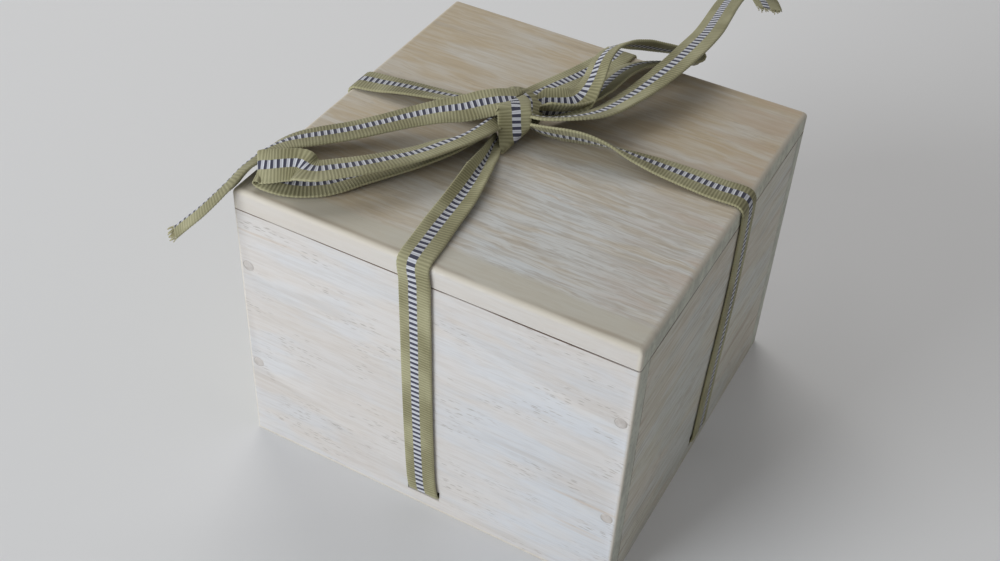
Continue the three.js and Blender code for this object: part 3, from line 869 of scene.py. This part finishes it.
woodLook = {
    "pale": (0.635, 0.605, 0.585),
    "warm": (0.635, 0.583, 0.535),
    "cool": (0.615, 0.63, 0.66),
    "light": (0.69, 0.68, 0.675),
    "line": (0.44, 0.385, 0.335),
    "pore": (0.31, 0.27, 0.24),
    "warmShare": 0.5,
    "coolShare": 0.6,
    "cornerShare": 0.0,
    "figureShare": 0.0,
    "lightShare": 0.25,
    "toneShare": 0.6,
    "streakShare": 0.14,
    "fleckShare": 0.25,
    "poreShare": 0.6,
    "grain": 0.00095,
    "grainRunShare": 0.06,
    "fibreShares": (0.16, 2.6, 2.6),
    "wave": 0.001,
    "ripple": 0.0004,
    "roughness": 0.62,
    "bumpStrength": 0.4,
    "bumpDepth": 0.00008,
    "reliefShares": (0.5, 0.3, 0.6),
    "end": (0.555, 0.575, 0.48),
    "endDark": (0.405, 0.415, 0.35),
    "endShare": 0.85,
    "endMix": (0.6, 0.5),
    # paler wood with a painted highlight on the rounded outer edges
    "arris": (0.68, 0.625, 0.53),
    "arrisShare": 0.75,
    "arrisReach": 0.0012,
    "arrisFull": 0.3,
    # the next colour is painted shade in the seam under the lid; the joints take it too
    "seam": (0.13, 0.075, 0.045),
    "seamReach": 0.0003,
    "seamFull": 0.4,
    "seamDepths": (0.35, 0.6),
    "jointShare": 0.0,
    "jointReach": (0.00035, 0.0001),
    "stain": (0.55, 0.42, 0.30),
    "stainShare": 0.45,
    "blotShare": 0.0,
    "paintedFrontLightShare": 0.0,
    "stripDepth": 0.0,
}
# How often each mark comes in a metre: along the grain, across it and through it, or for speck
# and bands along X, Y and Z
markScales = {
    "bend": (28, 90, 90),
    "ripple": (120, 210, 210),
    "broad": (14, 60, 60),
    "patch": (20, 75, 75),
    "tone": (32, 210, 210),
    "fleck": (11, 230, 230),
    "breaks": (34, 130, 130),
    "pores": (230, 1500, 1500),
    "speck": (420, 420, 420),
    "bands": (60, 330, 60),
}
# The share of its noise at which each mark starts, and the share at which it is full
markShares = {
    "warm": (0.38, 0.62),
    "cool": (0.46, 0.62),
    "corner": (0.3, 0.55),
    "figure": (0.3, 0.6),
    "tone": (0.5, 0.72),
    "lightStreak": (0.47, 0.62),
    "darkStreak": (0.5, 0.64),
    "fleck": (0.64, 0.74),
    "stain": (0.72, 0.78),
    "fibre": (0.52, 0.7),
    "pore": (0.36, 0.16),
    "poreBreaks": (0.49, 0.62),
    "blot": (0.46, 0.62),
    "stripLine": (0.35, 0.6),
    "end": (0.46, 0.66),
    "arrisBreaks": (0.2, 0.45),
    "seamBreaks": (0.3, 0.6),
    "jointBreaks": (0.42, 0.52),
}
# Where on the box a mark lies, in shares of half the width, half the depth or the seam's height,
# and how far a face has to turn to count as a front, a top or an end
placeShares = {
    "cornerWidth": (-0.1, 0.8),
    "cornerHeight": (1, 0.5),
    "figureWidth": (-0.6, 0.35),
    "figureDepth": (0.3, -0.35),
    "blotWidth": (0.35, 1),
    "frontFace": (-0.35, -0.8),
    "topFace": (0.5, 0.9),
    "endFace": (0.6, 0.9),
}


def grainMarks(sheet, place, along, shift, look):
    # the noises that make the figure, drawn out along the grain
    turn = (0, 0, math.pi / 2) if along == "Y" else (0, 0, 0)
    lie = sheet.node("Mapping", {}, {"Vector": place, "Rotation": turn, "Location": shift})
    bend = sheet.noise(lie, markScales["bend"], 2) - 0.5
    ripple = sheet.noise(lie, markScales["ripple"], 1) - 0.5
    run, across, rise = sheet.parts(lie)
    wavy = bend * look["wave"] + ripple * look["ripple"]
    bent = sheet.node("CombineXYZ", {}, [run, across + wavy, rise + wavy])
    fine = 1 / look["grain"]
    streakScale = (fine * look["grainRunShare"], fine, fine)
    fibreScale = [fine * share for share in look["fibreShares"]]
    breaks = sheet.noise(lie, markScales["breaks"], 2)
    pores = sheet.node(
        "TexVoronoi", {}, {"Vector": sheet.stretch(bent, markScales["pores"]), "Scale": 1.0}
    )
    return {
        "bend": bend,
        "breaks": breaks,
        "broad": sheet.noise(lie, markScales["broad"], 2),
        "patch": sheet.noise(bent, markScales["patch"], 3, 0.6),
        "tone": sheet.noise(bent, markScales["tone"], 2),
        "streak": sheet.noise(bent, streakScale, 2, 0.55),
        "fibre": sheet.noise(bent, fibreScale, 1),
        "fleck": sheet.noise(bent, markScales["fleck"], 1),
        "dash": pores.between(*markShares["pore"]) * breaks.between(*markShares["poreBreaks"]),
    }


def grainColour(sheet, spot, marks, look):
    # the board's own tones, and its light and dark streaks over them
    warmHere = marks["broad"].between(*markShares["warm"]) * look["warmShare"]
    coolHere = marks["patch"].between(*markShares["cool"]) * look["coolShare"]
    drawn = 1.0
    if look["cornerShare"]:
        corner = spot[0].betweenShares(halfWidth, placeShares["cornerWidth"])
        corner = corner * spot[2].betweenShares(seamHeight, placeShares["cornerHeight"])
        figure = marks["patch"].between(*markShares["corner"])
        coolHere = (coolHere + corner * look["cornerShare"] * figure).atMost(1)
    if look["figureShare"]:
        near = spot[1].betweenShares(halfDepth, placeShares["figureDepth"])
        near = near * spot[0].betweenShares(halfWidth, placeShares["figureWidth"])
        figure = marks["tone"].between(*markShares["figure"])
        coolHere = (coolHere + near * look["figureShare"] * figure).atMost(1)
        warmHere = (warmHere + (1 - near) * look["figureShare"]).atMost(1)
        least = look["leastDrawn"]
        drawn = least + (1 - least) * near
    colour = sheet.mix(warmHere, look["pale"], look["warm"])
    colour = sheet.mix(coolHere, colour, look["cool"])
    lighter, darker = look["lightShare"] * drawn, look["streakShare"] * drawn
    layers = (
        (1 - marks["tone"], "tone", look["lightShare"] * look["toneShare"], "light"),
        (marks["streak"], "lightStreak", lighter, "light"),
        (1 - marks["streak"], "darkStreak", darker, "line"),
        (marks["fleck"], "fleck", look["fleckShare"], "line"),
        (1 - marks["fleck"], "stain", look["stainShare"], "stain"),
        (1 - marks["fibre"], "fibre", darker, "line"),
    )
    for mark, shares, strength, tint in layers:
        colour = sheet.mix(mark.between(*markShares[shares]) * strength, colour, look[tint])
    return sheet.mix(marks["dash"] * look["poreShare"], colour, look["pore"])


def placedColour(sheet, spot, aim, marks, colour, look):
    # what one board has in one place: brown blots, painted light on its faces that look to the front, and a
    # plain strip along its edge
    if look["blotShare"]:
        right = spot[0].betweenShares(halfWidth, placeShares["blotWidth"]) * look["blotShare"]
        toneShare, patchShare = look["blotMix"]
        blots = (marks["tone"] * toneShare + marks["patch"] * patchShare).between(*markShares["blot"])
        colour = sheet.mix(right * blots, colour, look["blot"])
    # painted light: faces that look to the front take a paler tone than the board's top
    if look["paintedFrontLightShare"]:
        ahead = aim[1].between(*placeShares["frontFace"])
        colour = sheet.mix(ahead * look["paintedFrontLightShare"], colour, look["front"])
    if look["stripDepth"]:
        edge = look["stripDepth"] - halfDepth
        upward = aim[2].between(*placeShares["topFace"])
        wandering = spot[1] + marks["bend"] * look["stripWander"]
        plain = wandering.between(edge + look["stripSoftness"], edge) * upward
        colour = sheet.mix(plain * look["stripShare"], colour, look["strip"])
        wandering = spot[1] + marks["bend"] * look["stripLineWander"]
        line = plain * wandering.between(*(reach - halfDepth for reach in look["stripLineReach"]))
        line = line * marks["tone"].between(*markShares["stripLine"])
        colour = sheet.mix(line * look["stripLineShare"], colour, look["line"])
    return colour


def endColour(sheet, place, aim, along, colour, look):
    # end grain, where a board's face looks along its own grain
    ends = abs(aim[1 if along == "Y" else 0]).between(*placeShares["endFace"])
    speck = sheet.noise(place, markScales["speck"], 3, 0.65)
    bands = sheet.noise(place, markScales["bands"], 2)
    speckShare, bandShare = look["endMix"]
    dark = (speck * speckShare + bands * bandShare).between(*markShares["end"])
    cut = sheet.mix(dark, look["end"], look["endDark"])
    return sheet.mix(ends * look["endShare"], colour, cut)


def edgeColour(sheet, spot, outer, marks, colour, look):
    # paler arrises with a painted highlight along the box's outer edges, painted shade along the seam, and
    # dark joints
    if outer:
        gaps = [abs(spot[i] - outer[0][i]).atMost(abs(spot[i] - outer[1][i])) for i in range(3)]
        near = [gap.between(look["arrisReach"], look["arrisReach"] * look["arrisFull"]) for gap in gaps]
        arris = (near[0] * near[1]).atLeast(near[1] * near[2]).atLeast(near[0] * near[2])
        # paler wood with a painted highlight along the rounded outer edges, broken along their length
        paleAndLitEdge = arris * look["arrisShare"] * marks["breaks"].between(*markShares["arrisBreaks"])
        colour = sheet.mix(paleAndLitEdge, colour, look["arris"])
        # painted shade in the seam between the lid and the walls, broken along its length
        gap, full, (least, more) = look["seamReach"], look["seamFull"], look["seamDepths"]
        dark = abs(spot[2] - seamHeight).between(gap, gap * full)
        broken = least + more * marks["breaks"].between(*markShares["seamBreaks"])
        colour = sheet.mix(dark * broken, colour, look["seam"])
    if look["jointShare"]:
        joint = abs(abs(spot[1]) - (halfDepth - wallThickness)).between(*look["jointReach"])
        broken = marks["breaks"].between(*markShares["jointBreaks"]) * look["jointShare"]
        colour = sheet.mix(joint * broken, colour, look["seam"])
    return colour


def woodFinish(name, along="X", shift=(0, 0, 0), outer=None, **changes):
    # pale planed wood; along is the way of the grain, outer the box's own corners
    look = {**woodLook, **changes}
    sheet = Sheet(name)
    place = sheet.node("TexCoord", {}, (), "Object")
    spot = sheet.parts(place)
    aim = sheet.parts(sheet.node("TexCoord", {}, (), "Normal"))
    marks = grainMarks(sheet, place, along, shift, look)
    colour = grainColour(sheet, spot, marks, look)
    colour = placedColour(sheet, spot, aim, marks, colour, look)
    colour = endColour(sheet, place, aim, along, colour, look)
    colour = edgeColour(sheet, spot, outer, marks, colour, look)
    rise, bristle, pit = look["reliefShares"]
    height = marks["streak"] * rise + marks["fibre"] * bristle - marks["dash"] * pit
    bump = sheet.node(
        "Bump", {}, {"Strength": look["bumpStrength"], "Distance": look["bumpDepth"], "Height": height}
    )
    return sheet.finish(Base_Color=colour, Roughness=look["roughness"], Normal=bump)


# The lid's underside is lifted a little, so that the seam shows
seamGap = {"left": 0.00012, "right": 0.0004}
boardLook = {
    "arris": 0.0003,
    "arrisSteps": 3,
    "crease": math.radians(35),
    "flat": math.radians(1),
    "weld": 1e-6,
    "margin": 0.0001,
}


def boardFrom(node, name, finish, slot, body):
    # a welded copy of the board's solid, with its arrises eased
    mesh = frame["nodes"][node].data.copy()
    mesh.materials.clear()
    shape = bmesh.new()
    shape.from_mesh(mesh)
    bmesh.ops.remove_doubles(shape, verts=shape.verts, dist=boardLook["weld"])
    bmesh.ops.dissolve_limit(shape, angle_limit=boardLook["flat"], verts=shape.verts, edges=shape.edges)
    if node == "lid_board":
        for vertex in shape.verts:
            if vertex.co.z < seamHeight + boardLook["margin"]:
                share = 0.5 + vertex.co.x / (2 * halfWidth)
                vertex.co.z += seamGap["left"] + (seamGap["right"] - seamGap["left"]) * share
    shape.to_mesh(mesh)
    shape.free()
    mesh.materials.append(finish)
    board = shown(name, mesh)
    ease = board.modifiers.new("ease", "BEVEL")
    ease.width = boardLook["arris"]
    ease.segments = boardLook["arrisSteps"]
    ease.limit_method = "ANGLE"
    ease.angle_limit = boardLook["crease"]
    ease.use_clamp_overlap = True
    made = applied(board, ease).data
    made.polygons.foreach_set("use_smooth", [True] * len(made.polygons))
    made.set_sharp_from_angle(angle=boardLook["crease"])
    assigned(board, body, slot, node)


# The lid's tones are darker and warmer than the walls', partly its own colour and partly painted shade on its
# top; its faces that look to the front are painted back to a paler tone
lidWood = {
    "pale": (0.535, 0.467, 0.372),
    "warm": (0.525, 0.433, 0.302),
    "cool": (0.61, 0.63, 0.635),
    "light": (0.68, 0.68, 0.665),
    "line": (0.33, 0.26, 0.185),
    "lightShare": 0.5,
    "streakShare": 0.27,
    "coolShare": 0.27,
    "warmShare": 0.55,
    "poreShare": 0.25,
    "grain": 0.00115,
    "wave": 0.0032,
    "ripple": 0.0014,
    "figureShare": 0.8,
    "leastDrawn": 0.4,
    "blot": (0.50, 0.36, 0.24),
    "blotShare": 0.5,
    "blotMix": (0.6, 0.4),
    # the paler tone painted onto the lid's faces that look to the front
    "front": (0.645, 0.61, 0.575),
    "paintedFrontLightShare": 0.8,
    "strip": (0.54, 0.508, 0.425),
    "stripDepth": 0.0095,
    "stripSoftness": 0.003,
    "stripWander": 0.006,
    "stripShare": 0.8,
    "stripLineWander": 0.003,
    "stripLineReach": (0.0035, 0.0022),
    "stripLineShare": 0.5,
    "arrisReach": 0.002,
    "arrisShare": 0.85,
}
sideWood = {
    "pale": (0.585, 0.575, 0.49),
    "warm": (0.58, 0.515, 0.425),
    "cool": (0.55, 0.58, 0.555),
    "line": (0.36, 0.275, 0.19),
    "streakShare": 0.26,
    "fleckShare": 0.55,
    "lightShare": 0.3,
    "coolShare": 0.65,
    "jointShare": 0.8,
}
boards = {
    "front_wall": ("boardFront", "X", (0, 0, 0), "box_wood", "box", {"cornerShare": 0.8}),
    "back_wall": ("boardBack", "X", (0.3, 0.2, 0.1), "box_wood", "box", {}),
    "left_wall": ("boardLeft", "Y", (0.6, 0.1, 0.3), "box_wood", "box", sideWood),
    "right_wall": ("boardRight", "Y", (0.9, 0.4, 0.2), "box_wood", "box", sideWood),
    "bottom_board": ("boardBottom", "X", (0.2, 0.5, 0.6), "inner_wood", "box", {}),
    "lid_board": ("boardLid", "X", (0.4, 0.8, 0.9), "box_wood", "lid", lidWood),
    "lid_batten_front": ("battenFront", "X", (0.1, 0.9, 0.4), "inner_wood", "lid", {}),
    "lid_batten_back": ("battenBack", "X", (0.5, 0.3, 0.8), "inner_wood", "lid", {}),
    "lid_batten_left": ("battenLeft", "Y", (0.8, 0.6, 0.5), "inner_wood", "lid", {}),
    "lid_batten_right": ("battenRight", "Y", (0.7, 0.2, 0.9), "inner_wood", "lid", {}),
}
bodyCorners = ((-halfWidth, -halfDepth, 0), (halfWidth, halfDepth, lidTop))
for node, (name, along, shift, slot, body, changes) in boards.items():
    outer = bodyCorners if slot == "box_wood" else None
    boardFrom(node, name, woodFinish(name, along, shift, outer, **changes), slot, body)
print("boards made")

# Pegs, each in its own hole

pegLook = {
    "holeClearance": 0.0003,
    "snug": 0.00006,
    "dome": 0.00006,
    "ease": 0.00012,
    "easedShare": 0.95,
    "sides": 32,
    "rings": 5,
}
pegWood = {
    "pale": (0.52, 0.48, 0.445),
    "warm": (0.50, 0.44, 0.39),
    "cool": (0.50, 0.49, 0.49),
    "end": (0.565, 0.53, 0.505),
    "endDark": (0.45, 0.41, 0.38),
}
pegFinish = woodFinish("pegWood", "Y", (0.2, 0.3, 0.5), **pegWood)


def pegGraph():
    # a domed rod at each point, turned to the point's own heading
    graph = Graph("pegs", {
        "Radius": "Float", "Length": "Float", "Dome": "Float", "Ease": "Float", "Finish": "Material",
    })
    rod = graph.node(
        "GeometryNodeMeshCylinder", {},
        {"Vertices": pegLook["sides"], "Fill Segments": pegLook["rings"], "Radius": graph.value("Radius"),
         "Depth": graph.value("Length")},
    )
    spot = graph.node("GeometryNodeInputPosition", {})
    flat = graph.node("ShaderNodeVectorMath", {"operation": "MULTIPLY"}, [spot, (1, 1, 0)])
    away = graph.node("ShaderNodeVectorMath", {"operation": "LENGTH"}, [flat], "Value")
    share = graph.maths("DIVIDE", away, graph.value("Radius"))
    parts = graph.node("ShaderNodeSeparateXYZ", {}, [spot], "Z")
    end = graph.maths("SIGN", parts)
    fall = graph.maths("SUBTRACT", 1.0, graph.maths("POWER", share, 2.0))
    crown = graph.maths("MULTIPLY", fall, graph.value("Dome"))
    outermost = graph.maths("GREATER_THAN", share, pegLook["easedShare"])
    rim = graph.maths("MULTIPLY", outermost, graph.value("Ease"))
    lift = graph.maths("MULTIPLY", graph.maths("SUBTRACT", crown, rim), end)
    offset = graph.node("ShaderNodeCombineXYZ", {}, {"Z": lift})
    shaped = graph.node("GeometryNodeSetPosition", {}, {"Geometry": rod, "Offset": offset})
    placed = graph.scattered(shaped, graph.attribute("heading", "FLOAT_VECTOR"))
    return graph.close(placed, graph.value("Finish"))


pegs = pegGraph()


def pegSet(name, nodes, axis, body):
    boxes = [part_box(node) for node in nodes]
    sizes = boxes[0][1] - boxes[0][0]
    radius = (sizes[0] + 2 * pegLook["holeClearance"]) / 2 - pegLook["snug"]
    piece = headedPoints(name, [(low + high) / 2 for low, high in boxes], [axis] * len(boxes))
    length = sizes[1] if axis[1] else sizes[2]
    pegs.applyTo(
        piece, Radius=radius, Length=length, Dome=pegLook["dome"], Ease=pegLook["ease"], Finish=pegFinish
    )
    assigned(piece, body, "wood_peg", *nodes)


def nodesNamed(start):
    return [node for node in frame["nodes"] if node.startswith(start)]


pegSet("cornerPegs", nodesNamed("corner_peg"), (0, 1, 0), "box")
pegSet("battenPegs", nodesNamed("batten_peg"), (0, 0, 1), "lid")
print("pegs made")

# Stage

stageLook = {
    "floorReach": 2.5,
    "floor": (0.82, 0.82, 0.83),
    "floorRoughness": 0.9,
    "lightsAim": (0, 0, 0.06),
    "sky": (1.0, 1.0, 1.0, 1),
    "skyPower": 0.27,
}
floorPaper = Sheet("floorPaper").finish(
    Base_Color=stageLook["floor"], Roughness=stageLook["floorRoughness"]
)
reach = stageLook["floorReach"]
floorMesh = bpy.data.meshes.new("floor")
floorMesh.from_pydata(
    [(-reach, -reach, 0), (reach, -reach, 0), (reach, reach, 0), (-reach, reach, 0)], [], [(0, 1, 2, 3)]
)
floorMesh.materials.append(floorPaper)
shown("floor", floorMesh)

lights = {
    "key": {"place": (-0.93, -1.5, 0.55), "size": 1.05, "power": 25.0, "colour": (0.93, 0.97, 1.0)},
    "above": {"place": (-0.45, 0.55, 0.95), "size": 0.7, "power": 3.7, "colour": (1.0, 0.985, 0.95)},
}
for name, light in lights.items():
    data = bpy.data.lights.new(name, "AREA")
    data.size = light["size"]
    data.energy = light["power"]
    data.color = light["colour"]
    lamp = shown(name, data)
    lamp.location = light["place"]
    aim = Vector(stageLook["lightsAim"]) - lamp.location
    lamp.rotation_euler = aim.to_track_quat("-Z", "Y").to_euler()

world = bpy.data.worlds.new("studio")
world.use_nodes = True
sky = world.node_tree.nodes["Background"]
sky.inputs["Color"].default_value = stageLook["sky"]
sky.inputs["Strength"].default_value = stageLook["skyPower"]
bpy.context.scene.world = world
print("stage set")
